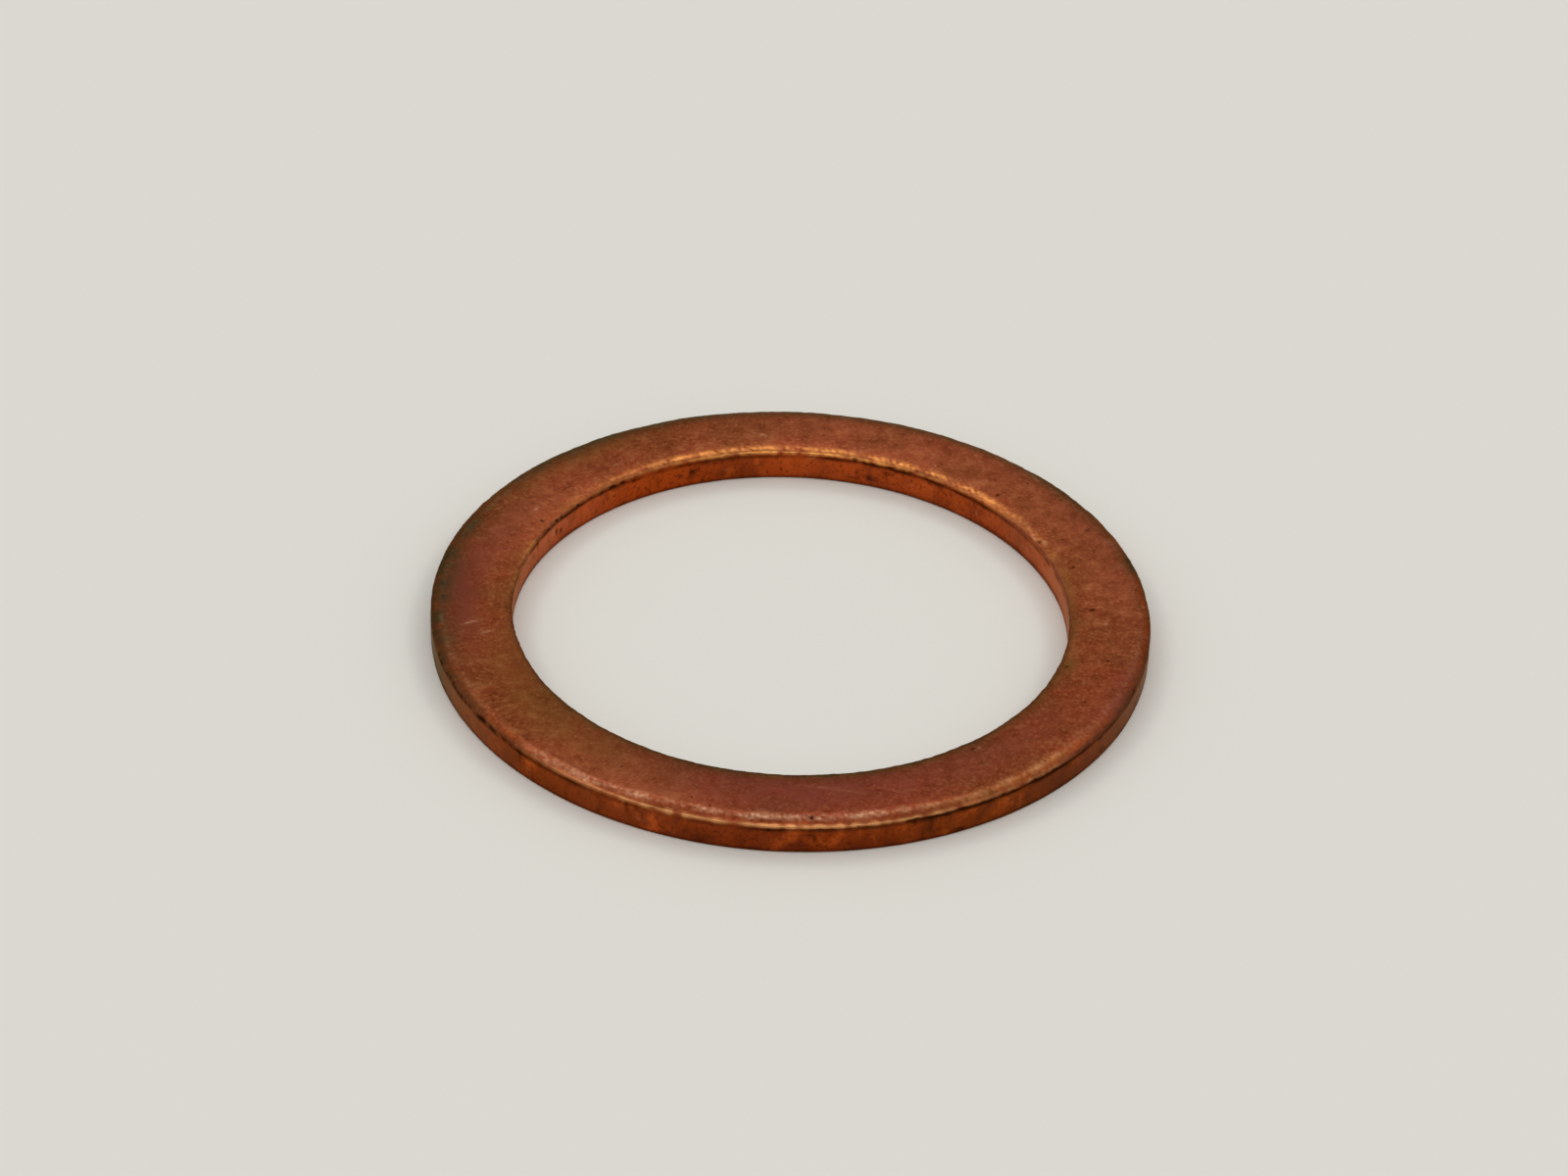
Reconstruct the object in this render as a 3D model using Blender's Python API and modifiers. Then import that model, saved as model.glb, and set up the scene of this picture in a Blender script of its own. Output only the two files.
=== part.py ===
"""Copper sealing washer, a plain flat ring blanked from sheet, for an M24 thread.

Units are metres and +Z is up. The origin is at the centre of the bore, on the
plane that the washer lies on, so +Z is also the axis of the ring.

The ring is one piece of soft copper. The punch and the die pull the sheet down
at both edges of its upper face, which leaves a shallow rolled edge there, and
tumbling takes the burr off both edges of its lower face.
"""

import math

import bmesh
import bpy

OUTER_DIAMETER = 0.0314
BORE_DIAMETER = 0.0243
THICKNESS = 0.0015

# The rolled edges of the upper face: how far each reaches in from its wall,
# and how far it falls below the face.
OUTER_ROLL_WIDTH = 0.00076
OUTER_ROLL_DEPTH = 0.00022
BORE_ROLL_WIDTH = 0.00066
BORE_ROLL_DEPTH = 0.00017

# Radius that tumbling leaves on the two lower edges.
EDGE_BREAK_RADIUS = 0.00009

# How finely the round shapes are divided.
TURN_STEPS = 144
ROLL_SEGMENTS = 4
EDGE_BREAK_SEGMENTS = 2

# Edges sharper than this stay crisp when the ring is shaded smooth.
CREASE_ANGLE = math.radians(35)

COLLECTION_NAME = "sealing_washer_m24"
WASHER_NAME = "sealing_washer"

# Tarnished soft copper: reddish brown, satin, fully metallic.
COPPER_COLOUR = (0.46, 0.15, 0.075, 1.0)
COPPER_ROUGHNESS = 0.42
COPPER_METALLIC = 1.0


def clear_scene():
    """Remove every object and the data that only those objects used."""
    for scene_object in list(bpy.data.objects):
        bpy.data.objects.remove(scene_object, do_unlink=True)
    for mesh in list(bpy.data.meshes):
        bpy.data.meshes.remove(mesh)


def quarter_arc(centre, start_angle, radii, segments):
    """Points of an elliptical quarter turn, clockwise in X-Z from start_angle.

    centre is (x, z), radii are the half axes along X and Z, and both ends of
    the quarter are included.
    """
    points = []
    for step in range(segments + 1):
        angle = start_angle - 0.5 * math.pi * step / segments
        x = centre[0] + radii[0] * math.cos(angle)
        z = centre[1] + radii[1] * math.sin(angle)
        points.append((x, z))
    return points


def ring_section():
    """Closed outline of the ring's section at +X, clockwise from its upper face.

    It runs down the outer wall, inwards under the ring and up the bore. The
    straight lines between the four corners are the two faces and two walls.
    """
    outer_radius = OUTER_DIAMETER / 2
    bore_radius = BORE_DIAMETER / 2
    edge_break = (EDGE_BREAK_RADIUS, EDGE_BREAK_RADIUS)

    outer_roll = quarter_arc(
        (outer_radius - OUTER_ROLL_WIDTH, THICKNESS - OUTER_ROLL_DEPTH),
        0.5 * math.pi,
        (OUTER_ROLL_WIDTH, OUTER_ROLL_DEPTH),
        ROLL_SEGMENTS,
    )
    outer_break = quarter_arc(
        (outer_radius - EDGE_BREAK_RADIUS, EDGE_BREAK_RADIUS),
        0.0,
        edge_break,
        EDGE_BREAK_SEGMENTS,
    )
    bore_break = quarter_arc(
        (bore_radius + EDGE_BREAK_RADIUS, EDGE_BREAK_RADIUS),
        -0.5 * math.pi,
        edge_break,
        EDGE_BREAK_SEGMENTS,
    )
    bore_roll = quarter_arc(
        (bore_radius + BORE_ROLL_WIDTH, THICKNESS - BORE_ROLL_DEPTH),
        math.pi,
        (BORE_ROLL_WIDTH, BORE_ROLL_DEPTH),
        ROLL_SEGMENTS,
    )
    return outer_roll + outer_break + bore_break + bore_roll


def closed_outline_mesh(name, outline):
    """Mesh of edges that joins the (x, z) points of outline into one loop."""
    builder = bmesh.new()
    corners = [builder.verts.new((x, 0.0, z)) for x, z in outline]
    for corner, following in zip(corners, corners[1:] + corners[:1]):
        builder.edges.new((corner, following))
    mesh = bpy.data.meshes.new(name)
    builder.to_mesh(mesh)
    builder.free()
    return mesh


def copper_material():
    """Principled material of the tarnished copper."""
    material = bpy.data.materials.new("tarnished_copper")
    material.use_nodes = True
    shader = material.node_tree.nodes["Principled BSDF"]
    shader.inputs["Base Color"].default_value = COPPER_COLOUR
    shader.inputs["Roughness"].default_value = COPPER_ROUGHNESS
    shader.inputs["Metallic"].default_value = COPPER_METALLIC
    return material


def turned_ring(name, outline, material, collection):
    """Object whose outline a Screw modifier turns once about the Z axis."""
    mesh = closed_outline_mesh(name, outline)
    mesh.materials.append(material)
    ring = bpy.data.objects.new(name, mesh)
    collection.objects.link(ring)

    turn = ring.modifiers.new("turn", "SCREW")
    turn.axis = "Z"
    turn.angle = 2 * math.pi
    turn.steps = TURN_STEPS
    turn.render_steps = TURN_STEPS
    turn.use_smooth_shade = False
    return ring


def shade_round(ring):
    """Bake the turned shape into its mesh and shade it smooth up to a crease."""
    graph = bpy.context.evaluated_depsgraph_get()
    finished = bpy.data.meshes.new_from_object(ring.evaluated_get(graph))
    outline_mesh = ring.data
    ring.modifiers.clear()
    ring.data = finished
    bpy.data.meshes.remove(outline_mesh)
    finished.name = ring.name
    finished.shade_smooth()
    finished.set_sharp_from_angle(angle=CREASE_ANGLE)


def main():
    """Build the washer in a collection of its own."""
    clear_scene()
    collection = bpy.data.collections.new(COLLECTION_NAME)
    bpy.context.scene.collection.children.link(collection)
    washer = turned_ring(
        WASHER_NAME, ring_section(), copper_material(), collection
    )
    bpy.context.view_layer.update()
    shade_round(washer)


main()
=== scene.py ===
"""Looks of a blanked copper sealing washer: its mesh, its metal, the floor, the light and the camera.

Units are metres and +Z is up. The washer lies on the floor at z = 0 with the axis of its bore on the
Z axis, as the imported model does. Places on the ring are given as an angle round that axis in degrees,
counted from +X towards +Y, and as a share of the way from the bore wall (0) to the outer wall (1).
"""

import logging
import math
from collections.abc import Sequence
from dataclasses import dataclass, field
from enum import Enum
from typing import Any

import bpy
import numpy as np
from mathutils import Matrix, Vector


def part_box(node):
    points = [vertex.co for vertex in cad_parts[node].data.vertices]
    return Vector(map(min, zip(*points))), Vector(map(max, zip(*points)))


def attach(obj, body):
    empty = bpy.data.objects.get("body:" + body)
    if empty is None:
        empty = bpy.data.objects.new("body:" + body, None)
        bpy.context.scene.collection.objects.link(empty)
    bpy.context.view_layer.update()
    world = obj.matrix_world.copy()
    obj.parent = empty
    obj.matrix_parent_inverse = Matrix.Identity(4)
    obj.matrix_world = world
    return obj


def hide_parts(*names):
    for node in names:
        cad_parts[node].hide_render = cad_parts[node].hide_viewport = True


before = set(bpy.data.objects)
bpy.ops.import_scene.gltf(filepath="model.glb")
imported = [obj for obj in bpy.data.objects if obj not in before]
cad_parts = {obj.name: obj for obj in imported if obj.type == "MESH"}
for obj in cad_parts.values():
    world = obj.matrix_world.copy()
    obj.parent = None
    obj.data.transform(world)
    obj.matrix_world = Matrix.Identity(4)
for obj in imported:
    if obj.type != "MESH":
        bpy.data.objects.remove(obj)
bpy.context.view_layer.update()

Array = np.ndarray

MILLIMETRE = 0.001
UPRIGHT = (0.0, 0.0, 1.0)
WASHER_NODE = "sealing_washer"

# Mesh attributes for where the metal is rubbed bare, scuffed, sheared, at the bore, and dirty. The rubbed
# and scuffed marks are also painted highlights where the edges face the light, and the dirt mark also
# holds painted shade.
METAL_MARKS = ("rubbed", "scuffed_and_highlit", "sheared", "bore", "dirt_and_shade")

# How many points each stretch of the section has. They make 107 in all, and 930 slices of 107 points
# make 199,020 triangles, just under the 200,000 that the export keeps of a piece.
FACE_POINTS = 22
ROLL_POINTS = 16
LIP_POINTS = 6
WALL_POINTS = 12
FOOT_POINTS = 5
UNDERSIDE_POINTS = 7

# The bake map holds the ring in this many strips, so the number of slices divides by it.
BAKE_UV_NAME = "OFBake"
BAKE_STRIPS = 3
BAKE_MARGIN = 0.01

log = logging.getLogger("sealing_washer")


# --------------------------------------------------------------------------------------------------
# Small tools
# --------------------------------------------------------------------------------------------------


def linear_colour(hex_code: str) -> tuple[float, float, float, float]:
    """Turn an sRGB hex colour into the linear colour that a shader takes.

    Args:
        hex_code: six hex digits after a hash, such as "#B87333".

    Returns:
        Linear red, green and blue, and an alpha of 1.
    """
    channels = []
    for start in (1, 3, 5):
        value = int(hex_code[start : start + 2], 16) / 255
        channels.append(value / 12.92 if value <= 0.04045 else ((value + 0.055) / 1.055) ** 2.4)
    return (channels[0], channels[1], channels[2], 1.0)


def add_node(
    tree: bpy.types.NodeTree,
    kind: str,
    settings: dict[str, Any] | None = None,
    inputs: dict[str | int, Any] | None = None,
) -> bpy.types.Node:
    """Add one node to a tree, with its settings and its inputs.

    Args:
        tree: the node tree that takes the node.
        kind: Blender's name for the node's type.
        settings: the node's own properties, by name.
        inputs: for each socket, by name or number, the output it is linked to or the value it holds.

    Returns:
        The new node.
    """
    node = tree.nodes.new(kind)
    for name, value in (settings or {}).items():
        setattr(node, name, value)
    for socket, value in (inputs or {}).items():
        if isinstance(value, bpy.types.NodeSocket):
            tree.links.new(value, node.inputs[socket])
        else:
            node.inputs[socket].default_value = value
    return node


def smooth_step(value: Array, low: float, high: float) -> Array:
    """Ease from 0 at low to 1 at high."""
    share = np.clip((value - low) / (high - low), 0.0, 1.0)
    return share * share * (3.0 - 2.0 * share)


def bell(value: Array) -> Array:
    """A bell curve, 1 at 0 and 0.37 at 1 and -1."""
    return np.exp(-(value**2))


def turn_between(angles: Array, degrees: float) -> Array:
    """The shorter way round from a direction in degrees to each angle in radians, in radians."""
    return np.angle(np.exp(1j * (angles - math.radians(degrees))))


def circle_points(angles: Array, radius: float) -> Array:
    """The points at each angle in radians on a level circle round the axis."""
    return radius * np.column_stack([np.cos(angles), np.sin(angles), np.zeros(len(angles))])


def level_heading(angle: float) -> tuple[float, float, float]:
    """The level unit vector at an angle in radians from +X."""
    return (math.cos(angle), math.sin(angle), 0.0)


class WaveField:
    """A smooth random field in space, made of plane waves of about one wavelength."""

    def __init__(self, seed: int, wavelength: float, waves: int = 28, stretch_z: float = 1.0) -> None:
        """Draw the waves.

        Args:
            seed: what the waves are drawn from, so that each run gives the same field.
            wavelength: the middle wavelength, in metres. The waves run from 0.7 to 1.4 of it.
            waves: how many waves are added up.
            stretch_z: how many times longer the field's features are along Z than across it.
        """
        draw = np.random.default_rng(seed)
        directions = draw.normal(size=(waves, 3))
        directions /= np.linalg.norm(directions, axis=1, keepdims=True)
        lengths = wavelength * np.exp(draw.uniform(math.log(0.7), math.log(1.4), size=(waves, 1)))
        self.vectors = directions * (2.0 * math.pi / lengths)
        self.vectors[:, 2] /= stretch_z
        self.phases = draw.uniform(0.0, 2.0 * math.pi, size=waves)

    def __call__(self, points: Array) -> Array:
        """Value of the field at each point, with a spread of about 1 round 0."""
        angles = points @ self.vectors.T + self.phases
        return np.cos(angles).sum(axis=1) * math.sqrt(2.0 / len(self.phases))


def ripple(points: Array, seed: int, height: float, wavelength: float, stretch_z: float = 1.0) -> Array:
    """Height in metres of random waves whose usual height and length are given in millimetres."""
    return height * MILLIMETRE * WaveField(seed, wavelength * MILLIMETRE, stretch_z=stretch_z)(points)


# --------------------------------------------------------------------------------------------------
# The washer's section
# --------------------------------------------------------------------------------------------------


@dataclass(frozen=True)
class Swell:
    """A stretch of an edge where the roll is wider or narrower than usual.

    Attributes:
        angle: where its middle is round the ring, in degrees.
        reach: how far it reaches on both sides, in degrees.
        change: how much wider the roll is there, as a share of its width.
    """

    angle: float
    reach: float
    change: float


@dataclass
class SectionPoints:
    """Points along a stretch of the section, one row for each slice of the ring.

    Attributes:
        radius: distance of each point from the axis, in metres.
        height: height of each point, in metres.
        travel: distance of each point along the section from the nearer lip, in metres, positive on the
            face side.
    """

    radius: Array
    height: Array
    travel: Array

    def reversed(self) -> "SectionPoints":
        """The same points in the opposite order."""
        return SectionPoints(self.radius[:, ::-1], self.height[:, ::-1], self.travel[:, ::-1])


@dataclass(frozen=True)
class BlankedEdge:
    """One edge of the ring, from the upper face over the roll and down the sheared wall to the floor.

    The sheet is first drawn down into a roll, then the punch or the die shears the wall. The two meet at
    a lip.

    Attributes:
        wall_radius: radius of the sheared wall.
        outward: 1 where the wall faces away from the axis, and -1 where it faces the axis.
        thickness: thickness of the sheet.
        roll_width: how far the roll reaches in from the wall.
        roll_depth: how far the roll falls below the face where it meets the wall.
        lip_slope: steepness of the roll where the lip starts, in degrees from the face.
        swells: where the roll is wider or narrower.
        seed: what the small changes of the roll's width are drawn from.
        lip_radius: radius of the lip, rubbed round by handling.
        foot_radius: radius that tumbling left on the lower edge.
    """

    wall_radius: float
    outward: int
    thickness: float
    roll_width: float
    roll_depth: float
    lip_slope: float
    swells: tuple[Swell, ...]
    seed: int
    lip_radius: float = 0.12 * MILLIMETRE
    foot_radius: float = 0.09 * MILLIMETRE

    def points(self, angles: Array) -> SectionPoints:
        """Points of the edge from the end of the flat face to the start of the underside.

        Args:
            angles: angle of each slice of the ring, in radians.

        Returns:
            The points, with one row for each slice.
        """
        roll = self._roll(self.width_shares(angles)[:, None])
        stretches = (roll, self._lip(), self._wall(), self._foot())
        slices = len(angles)
        inset = np.hstack([np.broadcast_to(part[0], (slices, part[0].shape[-1])) for part in stretches])
        height = np.hstack([np.broadcast_to(part[1], (slices, part[1].shape[-1])) for part in stretches])
        travelled = np.cumsum(np.hypot(np.diff(inset), np.diff(height)), axis=1)
        travelled = np.hstack([np.zeros((slices, 1)), travelled])
        middle_of_lip = ROLL_POINTS + LIP_POINTS // 2
        travel = travelled[:, middle_of_lip : middle_of_lip + 1] - travelled
        return SectionPoints(self.wall_radius - self.outward * inset, height, travel)

    def width_shares(self, angles: Array) -> Array:
        """Width of the roll round the ring, with its swells and a small waver of a few percent.

        Args:
            angles: angles round the ring, in radians.

        Returns:
            The width at each angle, as a share of the usual width.
        """
        circle = circle_points(angles, self.wall_radius)
        share = 1.0 + 0.035 * WaveField(self.seed, 3.5 * MILLIMETRE)(circle)
        share += 0.025 * WaveField(self.seed + 1, 1.1 * MILLIMETRE)(circle)
        for swell in self.swells:
            share += swell.change * bell(turn_between(angles, swell.angle) / math.radians(swell.reach))
        return share

    def _roll(self, width_shares: Array) -> tuple[Array, Array]:
        """Inset from the wall and height along the roll, an arc of an ellipse that starts level.

        Args:
            width_shares: width of the roll at each slice as a share of its usual width, in a column.

        Returns:
            The inset of each point with one row for each slice, and the height of each point.
        """
        slope = math.radians(self.lip_slope)
        lip_inset = self.lip_radius * (1.0 - math.sin(slope))
        width = self.roll_width - lip_inset
        depth = self.roll_depth - self.lip_radius * math.cos(slope)
        # The arc of the ellipse that spans this width and depth and ends at the lip's slope.
        end_cosine = 1.0 / (math.tan(slope) * width / depth - 1.0)
        end_angle = math.acos(end_cosine)
        angle = end_angle * np.linspace(0.0, 1.0, ROLL_POINTS + 1)[:-1]
        inset = lip_inset + width * (1.0 - np.sin(angle) / math.sin(end_angle)) * width_shares
        height = self.thickness - depth * (1.0 - np.cos(angle)) / (1.0 - end_cosine)
        return inset, height

    def _lip(self) -> tuple[Array, Array]:
        """Go round the lip, from the roll's slope to upright.

        Returns:
            The inset and the height of each point.
        """
        angle = np.radians(np.linspace(self.lip_slope, 90.0, LIP_POINTS))
        inset = self.lip_radius * (1.0 - np.sin(angle))
        height = self.thickness - self.roll_depth + self.lip_radius * np.cos(angle)
        return inset, height

    def _wall(self) -> tuple[Array, Array]:
        """Go down the sheared wall, in shorter steps just under the lip.

        Returns:
            The inset and the height of each point.
        """
        top = self.thickness - self.roll_depth
        share = np.linspace(0.0, 1.0, WALL_POINTS + 2)[1:-1] ** 1.35
        height = top + (self.foot_radius - top) * share
        return np.zeros_like(height), height

    def _foot(self) -> tuple[Array, Array]:
        """Go round the broken lower edge.

        Returns:
            The inset and the height of each point.
        """
        angle = np.radians(np.linspace(0.0, 90.0, FOOT_POINTS))
        inset = self.foot_radius * (1.0 - np.cos(angle))
        height = self.foot_radius * (1.0 - np.sin(angle))
        return inset, height


# --------------------------------------------------------------------------------------------------
# Marks of use
# --------------------------------------------------------------------------------------------------


class Tarnish(Enum):
    """The kinds of tarnish on the metal. Soot is also painted shade on the rolls and along the bore's
    lip, and two blush patches on the bore wall are painted highlights. Each value names the mesh
    attribute that says where it is.
    """

    OLIVE = "olive"
    PLUM = "plum"
    BLUSH = "blush"
    SOOT_AND_SHADE = "soot_and_shade"


@dataclass(frozen=True)
class Stain:
    """A soft patch of tarnish on the faces and the walls, or of painted shade or a painted highlight.

    Attributes:
        kind: the tarnish.
        angle: where the middle of the patch is round the ring, in degrees.
        share: where it is across the ring, from 0 at the bore wall to 1 at the outer wall.
        length: reach of the patch along the ring, in metres.
        width: reach of the patch across the ring, in metres.
        strength: how dense it is in its middle, from 0 to 1.
    """

    kind: Tarnish
    angle: float
    share: float
    length: float
    width: float
    strength: float


@dataclass(frozen=True)
class Dent:
    """A small dent or scratch pressed into the surface.

    Attributes:
        centre: the middle of the dent.
        direction: unit vector along the dent.
        length: half length of the dent along that direction, in metres.
        width: half width of the dent across it, in metres.
        depth: depth of the middle, in metres.
        bared: how much of the oxide is scraped off in the middle, from 0 to 1. More than 1 widens the
            bare spot, and below 0 it says how full of dirt the dent is.
    """

    centre: tuple[float, float, float]
    direction: tuple[float, float, float]
    length: float
    width: float
    depth: float
    bared: float = 0.0


# --------------------------------------------------------------------------------------------------
# Finishes
# --------------------------------------------------------------------------------------------------


@dataclass(frozen=True)
class CopperPatterns:
    """The random patterns that the copper's colour, gloss and relief share, each the output of a node.

    Attributes:
        clouds: broad clouds of oxide.
        mottle: blotches, and the shallow hammering that goes with them.
        smears: what the punch and the die drew along the walls.
        grain: the grain of the oxide.
        mill_lines: fine lines from the rolling mill.
        specks: small round pits.
    """

    clouds: bpy.types.NodeSocket
    mottle: bpy.types.NodeSocket
    smears: bpy.types.NodeSocket
    grain: bpy.types.NodeSocket
    mill_lines: bpy.types.NodeSocket
    specks: bpy.types.NodeSocket


@dataclass(frozen=True)
class TumbledCopper:
    """Soft copper, blanked, tumbled and then tarnished brown in store.

    The brown oxide gives the faces a dull satin red. It has been rubbed off along the lips and where the
    rolls start, so bare copper shows there in a broken pink and gold line, which is also a painted
    highlight on the stretches that face the light. The sheared walls were never rubbed, and they keep a
    deeper orange.
    """

    name: str = "copper_blanked_and_tumbled"
    oxide_red: str = "#944229"
    oxide_brown: str = "#7E4022"
    oxide_light: str = "#AE6C42"
    oxide_dark: str = "#6A2410"
    wall: str = "#8E3A0D"
    wall_bore: str = "#B24812"
    wall_bright: str = "#C4581C"
    wall_deep: str = "#5A2006"
    # Bare copper, on worn edges, and painted highlight where the edges face the light.
    rubbed: str = "#E2A066"
    rubbed_bore: str = "#E29650"
    scuffed_and_highlit: str = "#E2B08C"
    olive: str = "#7A5226"
    plum: str = "#7C3A32"
    blush: str = "#DA7856"
    # Soot, also painted as shade on the rolls and along the bore's lip.
    soot_and_shade: str = "#403420"
    # Dirt, and painted shade in the groove, under the lip, at the foot of the walls and along unlit
    # edges.
    dirt_and_shade: str = "#2E1206"
    # The oxide holds back the pale sheen that clean metal has at grazing angles.
    grazing: str = "#EEDFC4"
    roughness: float = 0.27
    wall_roughness: float = 0.40
    rubbed_roughness: float = 0.22
    dirt_roughness: float = 0.75
    speck_roughness: float = 0.80
    # Real sizes of the patterns.
    cloud_size: float = 2.6 * MILLIMETRE
    mottle_size: float = 0.80 * MILLIMETRE
    smear_size: float = 1.0 * MILLIMETRE
    grain_size: float = 0.16 * MILLIMETRE
    speck_spacing: float = 0.75 * MILLIMETRE
    speck_radius: float = 0.045 * MILLIMETRE
    # Lines left by the rolling mill, all one way across the sheet. The real ones are about 0.02 mm
    # apart. They are drawn at 0.09 mm, so that they show.
    mill_line_spacing: float = 0.09 * MILLIMETRE
    mill_heading: float = math.radians(24.0)
    # Heights of the relief.
    mottle_height: float = 0.012 * MILLIMETRE
    grain_height: float = 0.007 * MILLIMETRE
    mill_line_height: float = 0.002 * MILLIMETRE
    speck_depth: float = 0.02 * MILLIMETRE

    def build(self) -> bpy.types.Material:
        """Make the material's nodes.

        Returns:
            The finished material.
        """
        material = bpy.data.materials.new(self.name)
        material.use_nodes = True
        tree = material.node_tree
        tree.nodes.clear()
        place = add_node(tree, "ShaderNodeTexCoord").outputs["Object"]
        marks = {
            name: add_node(tree, "ShaderNodeAttribute", {"attribute_name": name}).outputs["Fac"]
            for name in (*METAL_MARKS, *(kind.value for kind in Tarnish))
        }
        patterns = self._patterns(tree, place)
        shader = add_node(
            tree,
            "ShaderNodeBsdfPrincipled",
            inputs={
                "Base Color": self._colour(tree, marks, patterns),
                "Metallic": 1.0,
                "Roughness": self._roughness(tree, marks, patterns),
                "Specular Tint": linear_colour(self.grazing),
                "Normal": self._relief(tree, patterns),
            },
        )
        add_node(tree, "ShaderNodeOutputMaterial", inputs={"Surface": shader.outputs["BSDF"]})
        return material

    def _patterns(self, tree: bpy.types.NodeTree, place: bpy.types.NodeSocket) -> CopperPatterns:
        """Make the random patterns.

        Args:
            tree: the material's node tree.
            place: the position on the washer.

        Returns:
            The patterns.
        """
        # The punch and the die smear the walls upright.
        drawing = {"Vector": place, "Scale": (1.0, 1.0, 0.7)}
        upright = add_node(tree, "ShaderNodeMapping", inputs=drawing).outputs["Vector"]
        rolling = {"Vector": place, "Rotation": (0.0, 0.0, self.mill_heading), "Scale": (0.05, 1.0, 1.0)}
        rolled = add_node(tree, "ShaderNodeMapping", inputs=rolling).outputs["Vector"]
        return CopperPatterns(
            clouds=noise(tree, place, self.cloud_size, detail=4.0, roughness=0.6),
            mottle=noise(tree, place, self.mottle_size, detail=5.0, roughness=0.62),
            smears=noise(tree, upright, self.smear_size, detail=4.0, roughness=0.6),
            grain=noise(tree, place, self.grain_size, detail=3.0, roughness=0.55),
            mill_lines=noise(tree, rolled, self.mill_line_spacing, detail=2.0, roughness=0.5),
            specks=self._specks(tree, place),
        )

    def _specks(self, tree: bpy.types.NodeTree, place: bpy.types.NodeSocket) -> bpy.types.NodeSocket:
        """Mask of small round pits, in about a sixth of the cells of a loose grid.

        Args:
            tree: the material's node tree.
            place: the position on the washer.

        Returns:
            The mask, 1 in the middle of a pit.
        """
        grid = {"Vector": place, "Scale": 1.0 / self.speck_spacing}
        cells = add_node(tree, "ShaderNodeTexVoronoi", inputs=grid)
        radius = self.speck_radius / self.speck_spacing
        dot = ranged(tree, cells.outputs["Distance"], radius * 1.5, radius * 0.6)
        lottery = add_node(tree, "ShaderNodeSeparateColor", inputs={"Color": cells.outputs["Color"]})
        chosen = ranged(tree, lottery.outputs["Red"], 0.76, 0.90)
        return product(tree, dot, chosen)

    def _colour(
        self, tree: bpy.types.NodeTree, marks: dict[str, bpy.types.NodeSocket], patterns: CopperPatterns
    ) -> bpy.types.NodeSocket:
        """Lay the oxide, the walls, the tarnish, the bare metal and the dirt over each other. The bare
        metal also paints highlights, and the dark tarnish and the dirt also paint shade.

        Args:
            tree: the material's node tree.
            marks: the mesh attributes, by name.
            patterns: the random patterns.

        Returns:
            The colour of the metal.
        """
        clouds, mottle, smears, grain = patterns.clouds, patterns.mottle, patterns.smears, patterns.grain
        # Each tint sets in at the first value of its pattern and has its full amount at the second.
        face = blended(tree, ranged(tree, clouds, 0.32, 0.68), self.oxide_brown, self.oxide_red)
        for pattern, start, full, amount, tint in (
            (mottle, 0.50, 0.74, 0.6, self.oxide_light),
            (mottle, 0.50, 0.26, 0.6, self.oxide_dark),
            (grain, 0.50, 0.28, 0.6, self.oxide_dark),
            (grain, 0.50, 0.72, 0.6, self.oxide_light),
        ):
            face = blended(tree, ranged(tree, pattern, start, full, 0.0, amount), face, tint)
        wall = blended(tree, marks["bore"], self.wall, self.wall_bore)
        for pattern, start, full, amount, tint in (
            (clouds, 0.52, 0.34, 0.5, self.wall_deep),
            (smears, 0.50, 0.72, 0.9, self.wall_bright),
            (smears, 0.48, 0.28, 0.9, self.wall_deep),
            (grain, 0.50, 0.30, 0.7, self.wall_deep),
        ):
            wall = blended(tree, ranged(tree, pattern, start, full, 0.0, amount), wall, tint)
        colour = blended(tree, marks["sheared"], face, wall)

        patchy = ranged(tree, mottle, 0.30, 0.62, 0.45, 1.0)
        # Soot also paints shade here, and two blush patches paint highlights on the bore wall.
        for kind, tone in zip(Tarnish, (self.olive, self.plum, self.blush, self.soot_and_shade)):
            colour = blended(tree, product(tree, marks[kind.value], patchy), colour, tone)

        # The scuffed band at the start of the outer roll is partly a painted highlight.
        broken = ranged(tree, mottle, 0.36, 0.60, 0.35, 1.0)
        broken = product(tree, broken, ranged(tree, grain, 0.34, 0.60, 0.5, 1.0))
        colour = blended(tree, product(tree, marks["scuffed_and_highlit"], broken), colour, self.scuffed_and_highlit)
        # Bare copper, which is also the painted highlight of the lips and rolls.
        bare = blended(tree, marks["bore"], self.rubbed, self.rubbed_bore)
        colour = blended(tree, marks["rubbed"], colour, bare)
        # Dirt, and painted shade.
        colour = blended(tree, marks["dirt_and_shade"], colour, self.dirt_and_shade)
        return blended(tree, product(tree, patterns.specks, 0.7), colour, self.dirt_and_shade)

    def _roughness(
        self, tree: bpy.types.NodeTree, marks: dict[str, bpy.types.NodeSocket], patterns: CopperPatterns
    ) -> bpy.types.NodeSocket:
        """Satin oxide that is uneven in its gloss, smoother bare metal and dull pits.

        Args:
            tree: the material's node tree.
            marks: the mesh attributes, by name.
            patterns: the random patterns.

        Returns:
            The roughness.
        """
        least, most = self.roughness - 0.05, self.roughness + 0.07
        gloss = ranged(tree, patterns.mottle, 0.30, 0.70, least, most)
        gloss = total(tree, product(tree, patterns.grain, 0.10), gloss)
        gloss = mixed_value(tree, marks["sheared"], gloss, self.wall_roughness)
        gloss = mixed_value(tree, marks["rubbed"], gloss, self.rubbed_roughness)
        gloss = mixed_value(tree, marks["dirt_and_shade"], gloss, self.dirt_roughness)
        return mixed_value(tree, patterns.specks, gloss, self.speck_roughness)

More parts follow.
